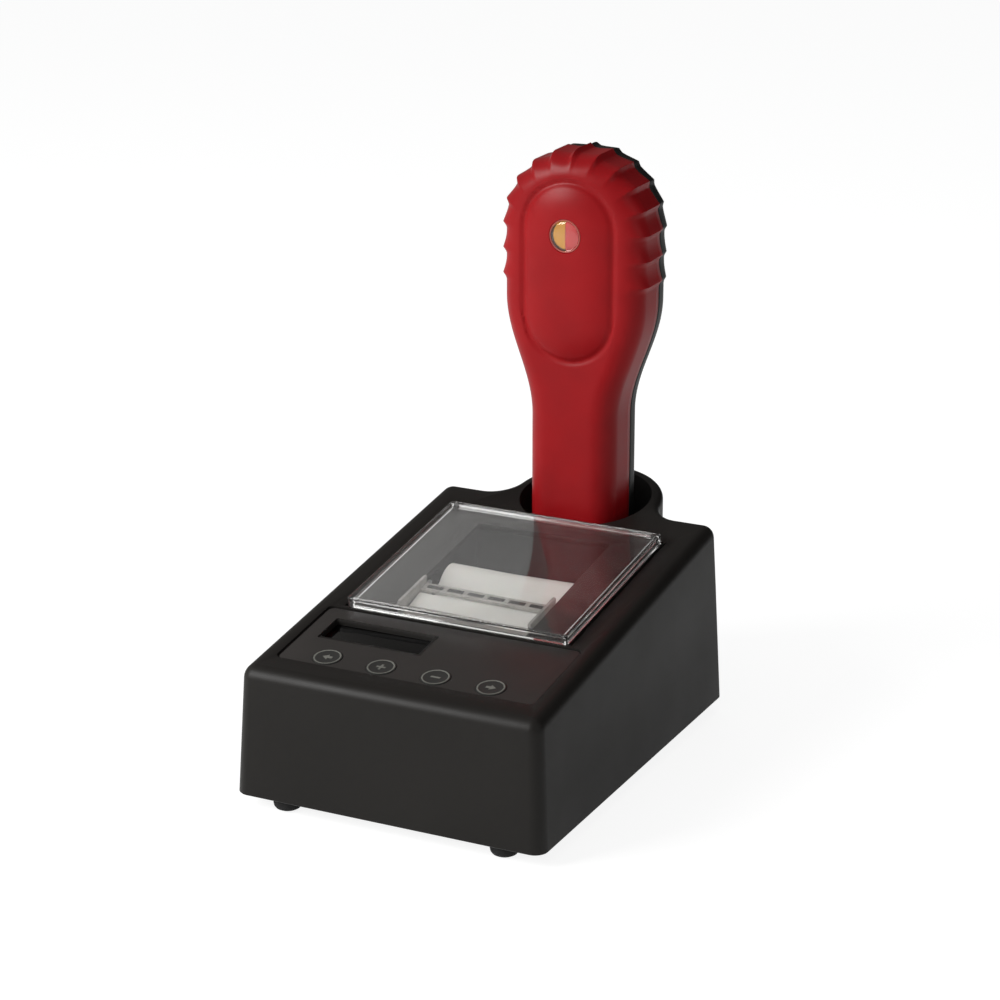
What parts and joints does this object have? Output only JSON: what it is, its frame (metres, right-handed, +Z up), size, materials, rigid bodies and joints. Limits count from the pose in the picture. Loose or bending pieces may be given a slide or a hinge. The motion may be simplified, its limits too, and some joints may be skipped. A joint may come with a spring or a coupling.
{
  "type": "watchman clock",
  "caption": "Guard-tour recorder: sloped black desk dock with display, round keys and a paper printer under a clear lid, and a red hand-held reader standing in a round socket.",
  "frame": {"origin": "on the desk under the middle of the whole object's outline, socket bulge included", "axes": "+Z up, +Y from the keys towards the reader at the back, +X to the right of someone at the keys"},
  "size_m": [0.14, 0.2258, 0.2474],
  "materials": {
    "dock_plastic": "fine spark-eroded grain, satin",
    "base_plastic": "moulded, matt",
    "foot_rubber": "moulded, matt",
    "screw_steel": "zinc plated",
    "panel_film": "printed polycarbonate film, fine texture",
    "key_plastic": "moulded, satin",
    "window_acrylic": "polished, smoke tint",
    "display_glass": "polished",
    "board_laminate": "glass-fibre laminate under green resist",
    "component_black": "moulded epoxy",
    "lid_acrylic": "clear, light smoke tint, polished",
    "tub_plastic": "moulded, matt",
    "frame_steel": "pressed, zinc plated",
    "guide_plastic": "moulded, natural",
    "bezel_plastic": "moulded, pale grey",
    "bright_steel": "ground",
    "platen_rubber": "ground silicone",
    "gear_plastic": "moulded acetal",
    "motor_steel": "plated can",
    "pinion_brass": "machined",
    "head_aluminium": "anodised, with glazed heater strip",
    "cardboard": "wound grey-brown board",
    "paper": "uncoated to the touch, white",
    "contact_gold": "gold plated",
    "reader_red": "moulded, fine grain, satin",
    "reader_black": "moulded, matt",
    "gasket_rubber": "moulded",
    "lens_acrylic": "clear, polished",
    "cup_gold": "metallised, bright",
    "lamp_epoxy": "clear tinted epoxy",
    "coil_copper": "enamelled copper wire",
    "cell_sleeve": "shrunk plastic sleeve"
  },
  "bodies": {
    "dock": {"upper_housing": "dock_plastic", "base_plate": "base_plastic", "feet": "foot_rubber", "base_screws": "screw_steel", "panel_film": "panel_film", "display_window": "window_acrylic", "display_module": "display_glass", "panel_board": "board_laminate", "panel_screws": "screw_steel", "key_switches": "component_black", "lid_hinge_pins": "bright_steel", "roll_tub": "tub_plastic", "bay_screws": "screw_steel", "printer_frame": "frame_steel", "paper_guide": "guide_plastic", "printer_bezel": "bezel_plastic", "idler_axle": "frame_steel", "feed_motor": "motor_steel", "print_head": "head_aluminium", "head_spring": "bright_steel", "paper_strip": "paper", "main_board": "board_laminate", "board_parts": "component_black", "board_screws": "screw_steel", "power_inlet": "component_black", "data_socket": "component_black", "socket_cup": "tub_plastic", "contact_barrels": "bright_steel", "contact_board": "board_laminate"},
    "reader": {"reader_front_shell": "reader_red", "reader_rear_shell": "reader_black", "seam_gasket": "gasket_rubber", "reader_lens": "lens_acrylic", "lamp_cup": "cup_gold", "indicator_lamps": "lamp_epoxy", "reader_board": "board_laminate", "pickup_coil": "coil_copper", "sounder": "component_black", "battery_cells": "cell_sleeve", "battery_clips": "bright_steel", "foot_contacts": "contact_gold", "reader_screws": "screw_steel"},
    "lid": {"paper_lid": "lid_acrylic"},
    "key_a": {"key_1": "key_plastic"},
    "key_b": {"key_2": "key_plastic"},
    "key_c": {"key_3": "key_plastic"},
    "key_d": {"key_4": "key_plastic"},
    "platen": {"platen_shaft": "bright_steel", "platen_roller": "platen_rubber", "platen_gear": "gear_plastic"},
    "idler": {"idler_gear": "gear_plastic"},
    "pinion": {"motor_pinion": "pinion_brass"},
    "roll": {"roll_spindle": "tub_plastic", "roll_core": "cardboard", "paper_roll": "paper"},
    "pins": {"contact_pins": "contact_gold"}
  },
  "joints": [
    {"name": "reader_lift", "type": "slide", "parent": "dock", "child": "reader", "axis": [0, 0, 1], "range_m": [0, 0.09]},
    {"name": "lid_hinge", "type": "hinge", "parent": "dock", "child": "lid", "pos_m": [0, 0.04537, 0.08401], "axis": [-1, 0, 0], "range_deg": [0, 80]},
    {"name": "key_press_a", "type": "slide", "parent": "dock", "child": "key_a", "axis": [0, 0.1392, -0.9903], "range_m": [0, 0.0006], "stiffness_N_per_m": 500},
    {"name": "key_press_b", "type": "slide", "parent": "dock", "child": "key_b", "axis": [0, 0.1392, -0.9903], "range_m": [0, 0.0006], "stiffness_N_per_m": 500},
    {"name": "key_press_c", "type": "slide", "parent": "dock", "child": "key_c", "axis": [0, 0.1392, -0.9903], "range_m": [0, 0.0006], "stiffness_N_per_m": 500},
    {"name": "key_press_d", "type": "slide", "parent": "dock", "child": "key_d", "axis": [0, 0.1392, -0.9903], "range_m": [0, 0.0006], "stiffness_N_per_m": 500},
    {"name": "platen_spin", "type": "hinge", "parent": "dock", "child": "platen", "pos_m": [0, -0.01673, 0.0624], "axis": [1, 0, 0], "continuous": true},
    {"name": "idler_spin", "type": "hinge", "parent": "dock", "child": "idler", "pos_m": [0, -0.01903, 0.05158], "axis": [1, 0, 0], "continuous": true},
    {"name": "motor_spin", "type": "hinge", "parent": "dock", "child": "pinion", "pos_m": [0, -0.02205, 0.04411], "axis": [1, 0, 0], "continuous": true},
    {"name": "roll_spin", "type": "hinge", "parent": "dock", "child": "roll", "pos_m": [0, 0.00338, 0.06301], "axis": [1, 0, 0], "continuous": true},
    {"name": "contact_press", "type": "slide", "parent": "dock", "child": "pins", "axis": [0, 0, -1], "range_m": [0, 0.001], "stiffness_N_per_m": 600}
  ],
  "couplings": [
    {"joint": "idler_spin", "follows": "platen_spin", "ratio": -1.2},
    {"joint": "motor_spin", "follows": "platen_spin", "ratio": 2}
  ]
}
